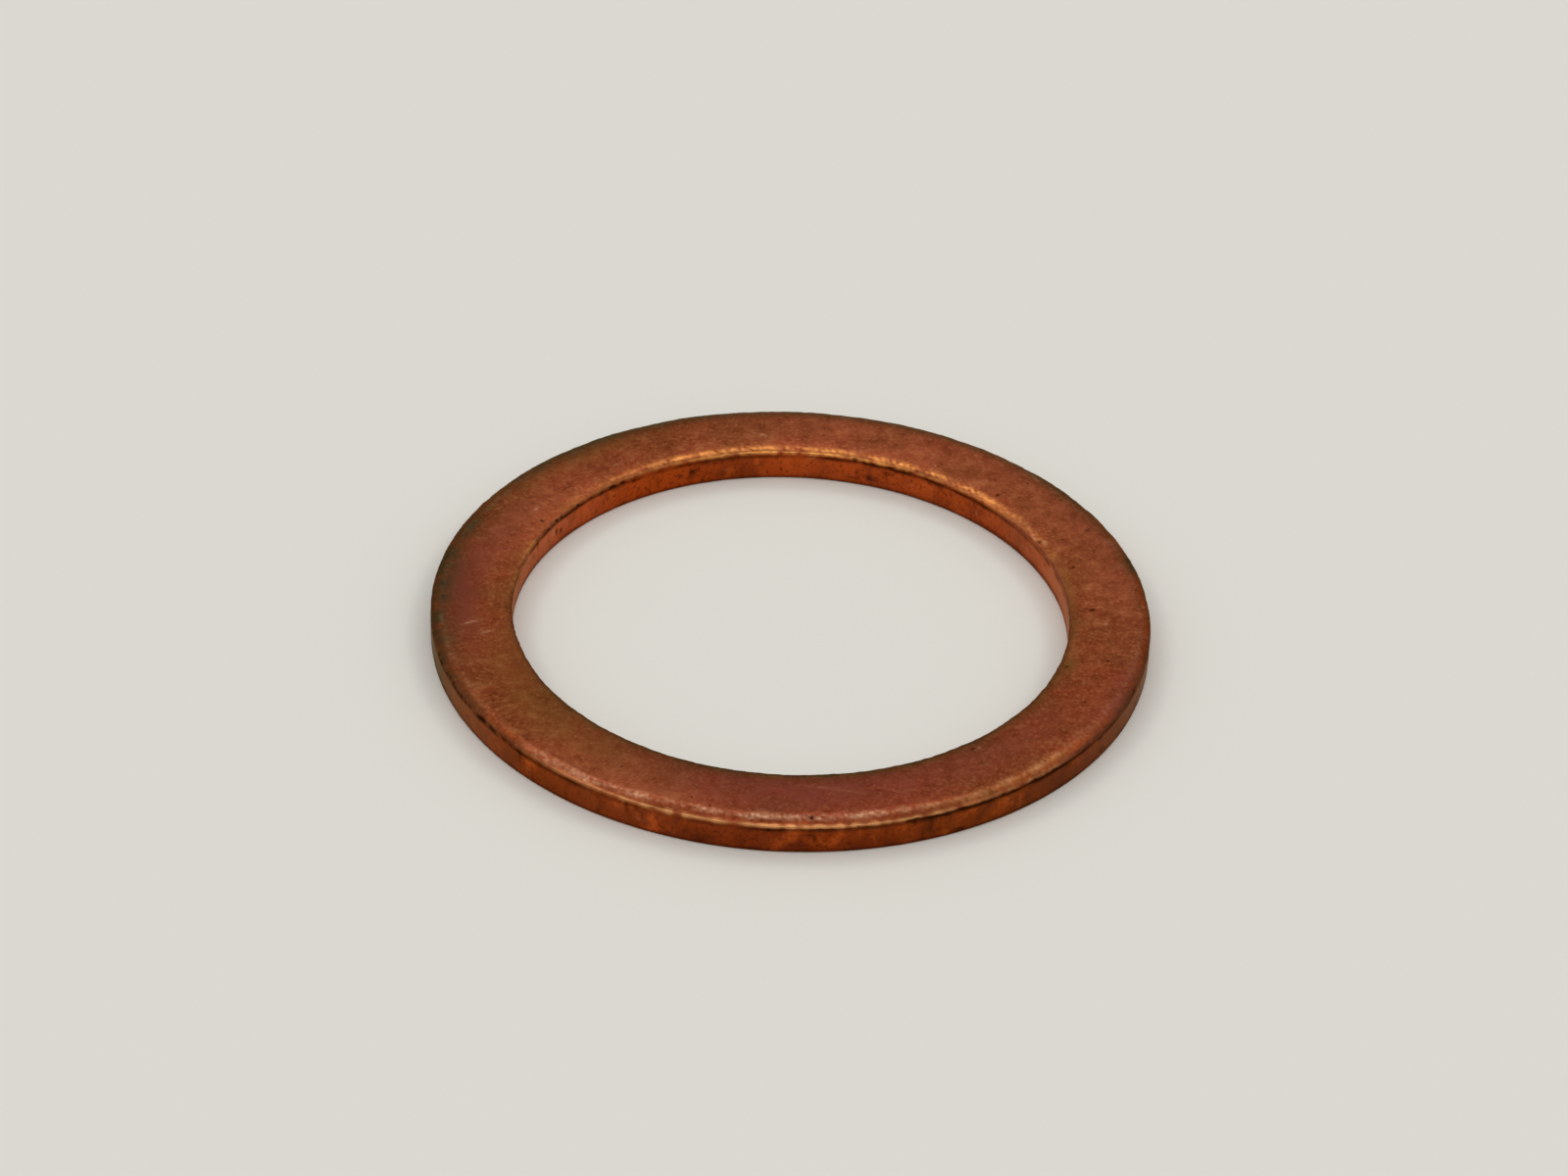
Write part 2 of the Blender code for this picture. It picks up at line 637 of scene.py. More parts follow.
    def _relief(self, tree: bpy.types.NodeTree, patterns: CopperPatterns) -> bpy.types.NodeSocket:
        """Shallow hammering from tumbling, a fine grain over it, the mill's lines and the pits.

        Args:
            tree: the material's node tree.
            patterns: the random patterns.

        Returns:
            The bumped normal.
        """
        normal = {}
        for pattern, height, hollow in (
            (patterns.mottle, self.mottle_height, False),
            (patterns.grain, self.grain_height, False),
            (patterns.mill_lines, self.mill_line_height, False),
            (patterns.specks, self.speck_depth, True),
        ):
            inputs = {"Height": pattern, "Distance": height, **normal}
            bump = add_node(tree, "ShaderNodeBump", {"invert": hollow}, inputs)
            normal = {"Normal": bump.outputs["Normal"]}
        return normal["Normal"]


@dataclass(frozen=True)
class MattePaper:
    """Matte drawing paper, which gives a plain pale ground with a barely visible tooth."""

    name: str = "paper_matte_pale"
    colour: str = "#EFEEEA"
    roughness: float = 0.95
    tooth_size: float = 0.35 * MILLIMETRE
    tooth_height: float = 0.004 * MILLIMETRE

    def build(self) -> bpy.types.Material:
        """Make the material's nodes.

        Returns:
            The finished material.
        """
        material = bpy.data.materials.new(self.name)
        material.use_nodes = True
        tree = material.node_tree
        shader = tree.nodes["Principled BSDF"]
        shader.inputs["Base Color"].default_value = linear_colour(self.colour)
        shader.inputs["Roughness"].default_value = self.roughness
        place = add_node(tree, "ShaderNodeTexCoord").outputs["Object"]
        tooth = noise(tree, place, self.tooth_size, detail=3.0, roughness=0.5)
        bump = add_node(tree, "ShaderNodeBump", inputs={"Height": tooth, "Distance": self.tooth_height})
        tree.links.new(bump.outputs["Normal"], shader.inputs["Normal"])
        return material


def noise(
    tree: bpy.types.NodeTree, place: bpy.types.NodeSocket, size: float, detail: float, roughness: float
) -> bpy.types.NodeSocket:
    """Fractal noise whose coarsest features are about size metres across."""
    inputs = {"Vector": place, "Scale": 1.0 / size, "Detail": detail, "Roughness": roughness}
    return add_node(tree, "ShaderNodeTexNoise", inputs=inputs).outputs["Fac"]


def ranged(
    tree: bpy.types.NodeTree,
    value: bpy.types.NodeSocket,
    low: float,
    high: float,
    to_low: float = 0.0,
    to_high: float = 1.0,
) -> bpy.types.NodeSocket:
    """Ease a value from one range into another, and hold it at the ends.

    Args:
        tree: the node tree.
        value: the value.
        low: where the easing starts. It may be above high, which turns the result round.
        high: where it ends.
        to_low: the result at low.
        to_high: the result at high.

    Returns:
        The eased value.
    """
    settings = {"interpolation_type": "SMOOTHSTEP"}
    inputs = {"Value": value, "From Min": low, "From Max": high, "To Min": to_low, "To Max": to_high}
    return add_node(tree, "ShaderNodeMapRange", settings, inputs).outputs["Result"]


def product(
    tree: bpy.types.NodeTree, first: bpy.types.NodeSocket, second: bpy.types.NodeSocket | float
) -> bpy.types.NodeSocket:
    """Multiply two values."""
    return add_node(tree, "ShaderNodeMath", {"operation": "MULTIPLY"}, {0: first, 1: second}).outputs[0]


def total(
    tree: bpy.types.NodeTree, first: bpy.types.NodeSocket, second: bpy.types.NodeSocket
) -> bpy.types.NodeSocket:
    """Add two values."""
    return add_node(tree, "ShaderNodeMath", {"operation": "ADD"}, {0: first, 1: second}).outputs[0]


def blended(
    tree: bpy.types.NodeTree,
    share: bpy.types.NodeSocket,
    under: bpy.types.NodeSocket | str,
    over: bpy.types.NodeSocket | str,
) -> bpy.types.NodeSocket:
    """Blend two colours.

    Args:
        tree: the node tree.
        share: how much of the second colour there is, from 0 to 1.
        under: the first colour, a socket or an sRGB hex colour.
        over: the second colour, likewise.

    Returns:
        The blended colour.
    """
    under, over = (linear_colour(tone) if isinstance(tone, str) else tone for tone in (under, over))
    # On a Mix node that blends colours, these are the numbers of the sockets named A, B and Result.
    inputs = {0: share, 6: under, 7: over}
    return add_node(tree, "ShaderNodeMix", {"data_type": "RGBA"}, inputs).outputs[2]


def mixed_value(
    tree: bpy.types.NodeTree,
    share: bpy.types.NodeSocket,
    under: bpy.types.NodeSocket,
    over: float,
) -> bpy.types.NodeSocket:
    """Blend from the value under to the number over."""
    return add_node(tree, "ShaderNodeMix", inputs={0: share, 2: under, 3: over}).outputs[0]


# --------------------------------------------------------------------------------------------------
# The washer
# --------------------------------------------------------------------------------------------------


@dataclass
class SealingWasher:
    """The one piece of the object: a flat ring of soft copper.

    Attributes:
        outer_edge: the edge at the rim.
        bore_edge: the edge at the bore.
        thickness: thickness of the sheet.
        turns: how many slices the ring has.
        finish: the metal.
        name: name of the piece.
    """

    outer_edge: BlankedEdge
    bore_edge: BlankedEdge
    thickness: float
    turns: int = 930
    finish: TumbledCopper = field(default_factory=TumbledCopper)
    name: str = "washer_ring"

    @classmethod
    def from_frame(cls) -> "SealingWasher":
        """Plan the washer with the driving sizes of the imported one, and rolls a little deeper than its.

        Returns:
            The plan of the washer.
        """
        low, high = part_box(WASHER_NODE)
        thickness = high.z - low.z
        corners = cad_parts[WASHER_NODE].data.vertices
        outer_edge = BlankedEdge(
            wall_radius=high.x,
            outward=1,
            thickness=thickness,
            roll_width=0.84 * MILLIMETRE,
            roll_depth=0.265 * MILLIMETRE,
            lip_slope=29.0,
            swells=(Swell(-126.0, 14.0, -0.42), Swell(-84.0, 12.0, 0.06), Swell(-56.0, 13.0, -0.22)),
            seed=61,
        )
        bore_edge = BlankedEdge(
            wall_radius=min(math.hypot(corner.co.x, corner.co.y) for corner in corners),
            outward=-1,
            thickness=thickness,
            roll_width=1.30 * MILLIMETRE,
            roll_depth=0.21 * MILLIMETRE,
            lip_slope=50.0,
            swells=(Swell(55.0, 20.0, -0.10), Swell(140.0, 18.0, -0.12)),
            seed=71,
        )
        return cls(outer_edge, bore_edge, thickness)

    @property
    def width(self) -> float:
        """Width of the ring from the bore wall to the outer wall, in metres."""
        return self.outer_edge.wall_radius - self.bore_edge.wall_radius

    def share_at(self, points: Array) -> Array:
        """How far each point is from the bore wall, as a share of the ring's width."""
        return (np.hypot(points[:, 0], points[:, 1]) - self.bore_edge.wall_radius) / self.width

    def place(self, angle: float, share: float, height: float) -> tuple[float, float, float]:
        """Find a point of the ring.

        Args:
            angle: angle round the ring, in degrees.
            share: share of the way from the bore wall to the outer wall.
            height: height, in metres.

        Returns:
            The point.
        """
        radius = self.bore_edge.wall_radius + share * self.width
        turn = math.radians(angle)
        return (radius * math.cos(turn), radius * math.sin(turn), height)

    def section(self, angles: Array) -> SectionPoints:
        """Closed section of the ring, from the end of the bore's roll outwards and back underneath.

        Args:
            angles: angle of each slice of the ring, in radians.

        Returns:
            The points, with one row for each slice.
        """
        outer = self.outer_edge.points(angles)
        bore = self.bore_edge.points(angles)
        face = self._flat(bore, outer, 0, self.thickness, FACE_POINTS)
        underside = self._flat(outer, bore, -1, 0.0, UNDERSIDE_POINTS)
        stretches = (face, outer, underside, bore.reversed())
        return SectionPoints(
            np.hstack([stretch.radius for stretch in stretches]),
            np.hstack([stretch.height for stretch in stretches]),
            np.hstack([stretch.travel for stretch in stretches]),
        )

    def _flat(
        self, start: SectionPoints, end: SectionPoints, column: int, height: float, points: int
    ) -> SectionPoints:
        """Points across a flat face, without its two ends, which belong to the edges.

        Args:
            start: the edge where the face starts.
            end: the edge where it ends.
            column: which point of those edges the face meets, 0 above and -1 below.
            height: height of the face.
            points: how many points to place.

        Returns:
            The points, with one row for each slice.
        """
        share = np.linspace(0.0, 1.0, points + 2)[1:-1]
        first, last = start.radius[:, column, None], end.radius[:, column, None]
        radius = first + (last - first) * share
        return SectionPoints(radius, np.full_like(radius, height), np.full_like(radius, self.thickness))

    def build(self) -> bpy.types.Object:
        """Build the ring, dress it and hand it to the frame.

        Returns:
            The finished object.
        """
        slice_angles = np.arange(self.turns) * (2.0 * math.pi / self.turns)
        section = self.section(slice_angles)
        count = section.radius.shape[1]
        radius = section.radius.ravel()
        angle = np.repeat(slice_angles, count)
        height = section.height.ravel()
        points = np.column_stack([radius * np.cos(angle), radius * np.sin(angle), height])
        mesh = bpy.data.meshes.new(WASHER_NODE + "_finished")
        mesh.from_pydata(points.tolist(), [], self._quads(count).tolist())
        mesh.validate()
        mesh.update()
        normals = np.empty(len(points) * 3)
        mesh.vertex_normals.foreach_get("vector", normals)

        surface = WornSurface(self, points, normals.reshape(-1, 3), section.travel.ravel(), angle)
        mesh.vertices.foreach_set("co", surface.worn_points().astype(np.float32).ravel())
        mesh.update()
        for name, values in surface.attributes().items():
            attribute = mesh.attributes.new(name, "FLOAT", "POINT")
            attribute.data.foreach_set("value", values.astype(np.float32))
        self._lay_out_bake_map(mesh, section, count)
        mesh.shade_smooth()
        mesh.materials.append(self.finish.build())

        washer = bpy.data.objects.new(self.name, mesh)
        bpy.context.scene.collection.objects.link(washer)
        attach(washer, "root")
        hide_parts(WASHER_NODE)
        return washer

    def _quads(self, count: int) -> Array:
        """Join each slice to the next one, and the last one to the first.

        Args:
            count: points in a slice.

        Returns:
            The numbers of each face's four corners.
        """
        slice_start = np.arange(self.turns)[:, None] * count
        next_start = np.roll(slice_start, -1, axis=0)
        here = np.arange(count)[None, :]
        along = (here + 1) % count
        corners = np.stack(
            [slice_start + here, slice_start + along, next_start + along, next_start + here], axis=-1
        )
        return corners.reshape(-1, 4)

    def _lay_out_bake_map(self, mesh: bpy.types.Mesh, section: SectionPoints, count: int) -> None:
        """Lay the ring out flat in strips, one above the other, that nearly fill a square map.

        Args:
            mesh: the ring's mesh, with its faces in the order of _quads.
            section: the section of the ring.
            count: points in the section.
        """
        closed = np.append(np.arange(count), 0)
        steps = np.hypot(np.diff(section.radius[0, closed]), np.diff(section.height[0, closed]))
        across = np.concatenate([[0.0], np.cumsum(steps)]) / steps.sum()
        turn = np.repeat(np.arange(self.turns), count)
        here = np.tile(np.arange(count), self.turns)
        strip_turns = self.turns // BAKE_STRIPS
        strip = turn // strip_turns
        left = (turn % strip_turns) / strip_turns
        right = left + 1.0 / strip_turns
        filled = 1.0 - 2.0 * BAKE_MARGIN
        u = np.stack([left, left, right, right], axis=-1) * filled + BAKE_MARGIN
        v_in_strip = np.stack([across[here], across[here + 1], across[here + 1], across[here]], axis=-1)
        v = (strip[:, None] + v_in_strip * filled + BAKE_MARGIN) / BAKE_STRIPS
        layer = mesh.uv_layers.new(name=BAKE_UV_NAME)
        layer.uv.foreach_set("vector", np.stack([u, v], axis=-1).astype(np.float32).ravel())


@dataclass
class WornSurface:
    """What blanking, tumbling and handling did to the ring's surface, and where highlights and shade are
    painted on it.

    Attributes:
        washer: the washer that the surface belongs to.
        points: the points of the plain turned ring.
        normals: the outward normal at each point.
        travel: distance along the section from the nearer lip, positive on the face side.
        angle: angle of each point round the ring, in radians.
        on_wall: 1 on the sheared walls and 0 on the faces, easing over each lip and foot.
        is_outer: whether each point is on the outer half of the ring.
        beside: the point of the middle circle beside each point, for patterns that only run round.
        groove: depth of the groove under the lip, as a share of its usual depth.
        pressed: how deep the dents and scratches press each point, in metres.
        bared: how much of the oxide they scraped off, and below 0 how full of dirt they are.
    """

    washer: SealingWasher
    points: Array
    normals: Array
    travel: Array
    angle: Array
    on_wall: Array = field(init=False)
    is_outer: Array = field(init=False)
    beside: Array = field(init=False)
    groove: Array = field(init=False)
    pressed: Array = field(init=False)
    bared: Array = field(init=False)

    # For each kind of tarnish, its patches: angle, share, length and width in millimetres, and strength.
    STAINS = tuple(
        Stain(kind, angle, share, length * MILLIMETRE, width * MILLIMETRE, strength)
        for kind, patches in (
            (
                Tarnish.OLIVE,
                (
                    (-150.0, 0.25, 5.5, 1.2, 0.5),
                    (-125.0, 0.5, 4.0, 1.2, 0.35),
                    (-53.0, 0.92, 5.0, 0.28, 0.5),
                    (-17.0, 0.13, 0.5, 0.4, 0.95),
                    (2.0, 0.02, 4.0, 0.35, 0.45),
                    (130.0, 0.8, 5.0, 0.9, 0.45),
                ),
            ),
            (
                Tarnish.PLUM,
                (
                    (-88.0, 0.35, 7.0, 1.8, 0.85),
                    (-22.0, 0.88, 3.0, 0.5, 0.6),
                    (-45.0, 0.4, 5.0, 1.2, 0.35),
                    (-180.0, 0.62, 3.8, 0.8, 0.95),
                    (25.0, 0.75, 8.0, 0.7, 0.35),
                    (158.0, 0.45, 3.0, 0.8, 0.4),
                    (85.0, 0.9, 6.0, 0.7, 0.35),
                    (-28.0, 1.02, 6.0, 0.25, 0.55),
                ),
            ),
            (
                Tarnish.BLUSH,
                (
                    (-151.0, 1.03, 3.2, 0.2, 0.6),
                    (72.0, 0.45, 9.0, 1.9, 0.24),
                    (15.0, 0.55, 6.0, 1.4, 0.18),
                    (-118.0, 0.75, 4.0, 1.0, 0.2),
                    (150.0, 0.35, 4.0, 0.9, 0.24),
                    # These two blush patches on the bore wall are painted highlights.
                    (15.0, -0.02, 4.4, 0.15, 1.0),
                    (158.0, -0.02, 3.6, 0.15, 0.85),
                ),
            ),
            (
                # Soot, and painted shade: the patches on the rolls and along the bore's lip stand in for
                # shade.
                Tarnish.SOOT_AND_SHADE,
                (
                    (-174.0, 0.93, 5.0, 0.85, 0.85),
                    (-154.0, 0.96, 3.0, 0.2, 0.55),
                    (-22.0, 0.94, 3.0, 0.25, 0.3),
                    (172.0, 0.92, 3.0, 0.6, 0.6),
                    (160.5, 0.86, 1.1, 0.35, 0.55),
                    (138.0, 0.95, 5.0, 0.65, 0.8),
                    (112.0, 0.96, 4.5, 0.65, 0.8),
                    (75.0, 0.96, 6.0, 0.4, 0.75),
                    (38.0, 0.96, 4.0, 0.4, 0.65),
                    (15.7, 0.96, 0.9, 0.35, 1.0),
                    (-86.0, 0.05, 15.0, 0.25, 0.9),
                ),
            ),
        )
        for angle, share, length, width, strength in patches
    )

    # The larger marks of the upper face: angle, share, heading in degrees, half length, half width and
    # depth in millimetres, and how bare.
    FACE_MARKS = (
        (-51.8, 0.16, 60.0, 0.22, 0.10, 0.026, -0.45),
        (-51.0, 0.19, 60.0, 0.26, 0.08, 0.003, 0.45),
        (-170.5, 0.53, 25.0, 0.42, 0.09, 0.005, 0.5),
        (-167.2, 0.36, 25.0, 0.34, 0.09, 0.005, 0.5),
        (150.3, 0.32, 80.0, 0.28, 0.09, 0.005, 0.5),
        (152.9, 0.13, 20.0, 0.14, 0.10, 0.020, -0.6),
        (27.4, 0.04, 30.0, 0.20, 0.12, 0.030, -0.6),
        (29.4, 0.04, 110.0, 0.34, 0.12, 0.004, 0.9),
        (26.4, 0.09, 110.0, 0.26, 0.11, 0.002, 0.9),
        (-81.0, 0.35, 172.0, 1.50, 0.08, 0.004, 0.18),
        (-85.6, 0.87, 90.0, 0.13, 0.12, 0.040, -0.7),
        (2.2, 0.29, 0.0, 0.12, 0.11, 0.034, -0.9),
        (16.7, 0.22, 0.0, 0.12, 0.11, 0.026, -0.5),
        (27.0, 0.72, 60.0, 0.34, 0.18, 0.008, -0.4),
        (45.3, 0.23, 0.0, 0.12, 0.11, 0.024, -0.4),
        (-2.2, 0.45, 80.0, 0.20, 0.09, 0.004, 0.5),
        (-17.5, 0.10, 20.0, 0.15, 0.11, 0.030, -0.6),
        (-13.5, 0.56, 35.0, 0.12, 0.11, 0.024, -0.5),
        (3.5, 0.93, 100.0, 0.16, 0.10, 0.002, 0.6),
        (97.0, 0.38, 160.0, 0.50, 0.08, 0.004, 0.3),
        (128.0, 0.30, 40.0, 0.30, 0.08, 0.004, 0.4),
    )
    # The larger marks of the bore wall, all upright: angle, share of the height, half length in
    # millimetres, and how bare.
    WALL_MARKS = (
        (149.0, 0.42, 0.16, -0.7),
        (150.6, 0.50, 0.22, -0.8),
        (151.8, 0.56, 0.22, 0.40),
        (157.0, 0.70, 0.20, 0.30),
        (163.4, 0.62, 0.34, 0.40),
        (170.8, 0.66, 0.24, 0.30),
    )
    # Where the lips are rough: share, first and last angle, and how many nicks.
    ROUGH_LIPS = (
        (1.0, -172.0, -136.0, 44),
        (1.0, -75.0, -40.0, 16),
        (0.0, 128.0, 158.0, 20),
        (0.0, 54.0, 78.0, 12),
    )
    LIP_NICKS = 70
    FACE_KNOCKS = 260
    WALL_NICKS = 230

    GROOVE_DEPTH = 0.030 * MILLIMETRE
    # Where the wall breaks away rough, it lies this far behind the part that the punch drew smooth.
    BREAK_SETBACK = 0.012 * MILLIMETRE
    # A dent as deep as this is full of dirt.
    DIRTY_DEPTH = 0.020 * MILLIMETRE

    def __post_init__(self) -> None:
        """Work out what the shape and the colours both need."""
        washer = self.washer
        self.on_wall = smooth_step(1.0 - np.abs(self.normals[:, 2]), 0.35, 0.95)
        self.is_outer = washer.share_at(self.points) > 0.5
        self.beside = circle_points(self.angle, washer.bore_edge.wall_radius + washer.width / 2.0)
        # The groove under the lip comes and goes. On one stretch of the rim the lip is folded over it.
        along = np.clip(0.35 + 0.30 * WaveField(41, 9.0 * MILLIMETRE)(self.beside), 0.0, 0.9)
        fold = self.is_outer * self._stretch(-66.0, -40.0, 8.0)
        self.groove = self._band(-0.10, 0.045) * (along + 1.1 * fold)
        dents = self._dents()
        self.pressed = self._spread(dents, [dent.depth for dent in dents])
        self.bared = self._spread(dents, [dent.bared for dent in dents])

    def _stretch(self, start: float, end: float, fade: float) -> Array:
        """Mark a stretch of the ring.

        Args:
            start: angle where the stretch starts, in degrees.
            end: angle where it ends.
            fade: over how many degrees it fades out beyond both.

        Returns:
            1 at the points in the stretch and 0 away from it.
        """
        middle, half = (start + end) / 2.0, (end - start) / 2.0
        apart = np.degrees(np.abs(turn_between(self.angle, middle)))
        return smooth_step(apart, half + fade, half)

    def _band(self, middle: float | Array, reach: float | Array) -> Array:
        """A soft band along the lips, with its middle and its reach given in millimetres of travel."""
        return bell((self.travel - middle * MILLIMETRE) / (reach * MILLIMETRE))

    def worn_points(self) -> Array:
        """Move the points of the plain ring to where the worn surface is.

        Returns:
            The new points.
        """
        points = self.points
        # The flat faces sag a few thousandths of a millimetre between the rollers' marks.
        sag = ripple(points, 11, 0.0022, 5.0) + ripple(points, 12, 0.0012, 1.6)
        # The lips wander where the sheet tore a little sooner or later.
        lip = ripple(self.beside, 21, 0.006, 2.6) + ripple(self.beside, 22, 0.005, 0.7)
        lip += ripple(points, 23, 0.004, 0.35)
        # The punch draws upright lines down the wall, and its lower part breaks away rough.
        drawn = ripple(points, 31, 0.0020, 0.32, stretch_z=14.0)
        rough = ripple(points, 32, 0.0045, 0.30) + ripple(points, 33, 0.0035, 0.16)
        break_height = points[:, 2] + ripple(points, 34, 0.06, 1.2)
        low = smooth_step(break_height, 0.62 * MILLIMETRE, 0.38 * MILLIMETRE)
        wall = drawn * (1.0 - low) + (rough - self.BREAK_SETBACK) * low

        shift = sag * (1.0 - self.on_wall) + lip * self._band(0.0, 0.16) + wall * self.on_wall
        shift -= self.GROOVE_DEPTH * self.groove + self.pressed
        return self._inside_the_sheet(points + self.normals * shift[:, None])

    def _inside_the_sheet(self, points: Array) -> Array:
        """Bring back every point that is past the faces of the sheet or the outer diameter.

        Args:
            points: the points.

        Returns:
            The points, none of them outside.
        """
        points = points.copy()
        points[:, 2] = np.clip(points[:, 2], 0.0, self.washer.thickness)
        radius = np.hypot(points[:, 0], points[:, 1])
        points[:, :2] *= (np.minimum(radius, self.washer.outer_edge.wall_radius) / radius)[:, None]
        return points

    def _dents(self) -> list[Dent]:
        """Put the larger dents and scratches in their places, and scatter many small ones by chance.

        Returns:
            All the dents.
        """
        draw = np.random.default_rng(7)
        dents = []
        for angle, share, heading, length, width, depth, bared in self.FACE_MARKS:
            centre = self.washer.place(angle, share, self.washer.thickness)
            sizes = (value * MILLIMETRE for value in (length, width, depth))
            dents.append(Dent(centre, level_heading(math.radians(heading)), *sizes, bared))
        dents.extend(self._face_dents(draw))
        dents.extend(self._lip_dents(draw))
        for angle, height, length, bared in self.WALL_MARKS:
            centre = self.washer.place(angle, 0.0, height * self.washer.thickness)
            sizes = (value * MILLIMETRE for value in (length, 0.11, 0.020))
            dents.append(Dent(centre, UPRIGHT, *sizes, bared))
        dents.extend(self._wall_dents(draw))
        return dents

    def _face_dents(self, draw: np.random.Generator) -> list[Dent]:
        """Scatter shallow knocks from the other washers in the tumbler over both faces.

        Args:
            draw: the source of chance.

        Returns:
            The dents.
        """
        dents = []
        for _ in range(self.FACE_KNOCKS):
            height = self.washer.thickness if draw.random() < 0.6 else 0.0
            size = draw.uniform(0.07, 0.17) * MILLIMETRE
            heading = level_heading(draw.uniform(0.0, math.pi))
            centre = self.washer.place(draw.uniform(0.0, 360.0), draw.uniform(0.03, 0.97), height)
            length = size * draw.uniform(1.0, 2.6)
            dents.append(Dent(centre, heading, length, size, size * draw.uniform(0.02, 0.07)))
        return dents

    def _lip_dents(self, draw: np.random.Generator) -> list[Dent]:
        """Nick both lips, all round by chance and packed close where the lips are rough.

        Args:
            draw: the source of chance.

        Returns:
            The dents.
        """
        scattered = [(draw.uniform(0.0, 360.0), float(nick % 2), 1.0) for nick in range(self.LIP_NICKS)]
        for share, start, end, count in self.ROUGH_LIPS:
            scattered.extend((draw.uniform(start, end), share, 1.8) for _ in range(count))
        dents = []
        for angle, share, deeper in scattered:
            edge = self.washer.outer_edge if share else self.washer.bore_edge
            height = self.washer.thickness - edge.roll_depth + draw.normal(0.0, 0.04) * MILLIMETRE
            centre = self.washer.place(angle, share, height)
            length = draw.uniform(0.07, 0.22) * MILLIMETRE
            width = draw.uniform(0.05, 0.09) * MILLIMETRE
            depth = draw.uniform(0.005, 0.020) * deeper * MILLIMETRE
            dents.append(Dent(centre, level_heading(math.radians(angle + 90.0)), length, width, depth))
        return dents

    def _wall_dents(self, draw: np.random.Generator) -> list[Dent]:
        """Scatter nicks, specks of dirt and bright scrapes over both walls, upright or level.

        Args:
            draw: the source of chance.

        Returns:
            The dents.
        """
        dents = []
        for nick in range(self.WALL_NICKS):
            angle = draw.uniform(0.0, 360.0)
            height = draw.uniform(0.12, 0.85) * self.washer.thickness
            width = draw.uniform(0.06, 0.12) * MILLIMETRE
            heading = level_heading(math.radians(angle + 90.0)) if draw.random() < 0.6 else UPRIGHT
            length = width * draw.uniform(1.0, 3.2)
            depth = width * draw.uniform(0.02, 0.10)
            bared = draw.uniform(-0.75, 0.28)
            centre = self.washer.place(angle, float(nick % 2), height)
            dents.append(Dent(centre, heading, length, width, depth, bared))
        return dents

    def _spread(self, dents: Sequence[Dent], amounts: Sequence[float]) -> Array:
        """Spread an amount of each dent over the points near it.

        Args:
            dents: the dents.
            amounts: the amount in the middle of each dent, in the same order.

        Returns:
            The amount at each point, added up over the dents.
        """
        spread = np.zeros(len(self.points))
        for dent, amount in zip(dents, amounts):
            offset = self.points - np.array(dent.centre)
            reach = 1.8 * max(dent.length, dent.width)
            near = np.nonzero(np.abs(offset).max(axis=1) < reach)[0]
            offset = offset[near]
            along = offset @ np.array(dent.direction)
            across = np.sqrt(np.maximum((offset**2).sum(axis=1) - along**2, 0.0))
            spread[near] += amount * bell(np.hypot(along / dent.length, across / dent.width) / 0.75)
        return spread

    def attributes(self) -> dict[str, Array]:
        """Where the metal is rubbed, scuffed, sheared, dirty or tarnished, and where highlights and shade
        are painted on it.

        Returns:
            Values from 0 to 1 at each point, by attribute name.
        """
        rub_and_highlight, lip_rub_and_highlight = self._rub_and_highlight_stretches()
        patchy = WaveField(51, 1.4 * MILLIMETRE)(self.beside)
        ragged = WaveField(53, 0.45 * MILLIMETRE)(self.beside)
        speckled = WaveField(52, 0.30 * MILLIMETRE)(self.points)
        above = self.points[:, 2] > 0.5 * self.washer.thickness
        hollows = np.clip(self.pressed / self.DIRTY_DEPTH, 0.0, 1.0) ** 1.5
        clean = 1.0 - 0.6 * hollows

        # Bare lips, strongest on the stretches that face the light: wear and painted highlight.
        lip = 0.95 * self._band(np.where(self.is_outer, 0.025, 0.055), 0.088 + 0.018 * ragged)
        lip *= np.clip(0.82 + 0.15 * patchy + 0.30 * ragged, 0.0, 1.0) * (0.10 + 0.90 * lip_rub_and_highlight)
        # The start of the outer roll and most of the bore's roll stand proud, so they are rubbed too. On
        # the stretches that face the light the bare band is a painted highlight.
        start_of_roll = 0.51 * self.washer.outer_edge.width_shares(self.angle)
        broken = np.clip((0.06 + 0.39 * rub_and_highlight) * (1.0 + 0.35 * patchy + 0.5 * speckled), 0.0, 1.0)
        outer_roll = broken * self._band(start_of_roll, 0.16) * self.is_outer
        bore_roll = broken * self._band(0.32, 0.16) * ~self.is_outer
        # Where the outer lip is folded, its roll is worn down, and painted with a bright gold highlight.
        golden_wear_and_highlight = 0.7 * self._stretch(-64.0, -40.0, 8.0)
        # Between its start and its lip the outer roll is only polished.
        polished = 0.6 * self._band(0.26, 0.13) * self.is_outer
        # Painted shade along the edges away from the lit stretches.
        unlit_edge_shade = 0.40 * self._band(0.04, 0.13) * (1.0 - rub_and_highlight)

        # Bare metal and scuffs: wear, and painted highlight on the lit stretches.
        rubbed = np.clip(lip + bore_roll + 0.7 * golden_wear_and_highlight * outer_roll, 0.0, 1.0) * above * clean
        scuffed_and_highlit = (1.0 - golden_wear_and_highlight) * outer_roll * above * clean + self.bared
        # Dirt in dents, and painted shade in the groove, under the lip, at the foot of the walls and
        # along unlit edges.
        dirt = self._painted_shade_under_lip_and_at_foot(patchy) + 0.55 * hollows + unlit_edge_shade * above - self.bared
        return {
            "rubbed": rubbed,
            "scuffed_and_highlit": np.clip(scuffed_and_highlit, 0.0, 1.0),
            "sheared": np.maximum(self.on_wall * (self.travel < 0.02 * MILLIMETRE), polished * above),
            "bore": np.where(self.is_outer, 0.0, 1.0),
            "dirt_and_shade": np.clip(dirt, 0.0, 0.90),
            **self._tarnish(),
        }

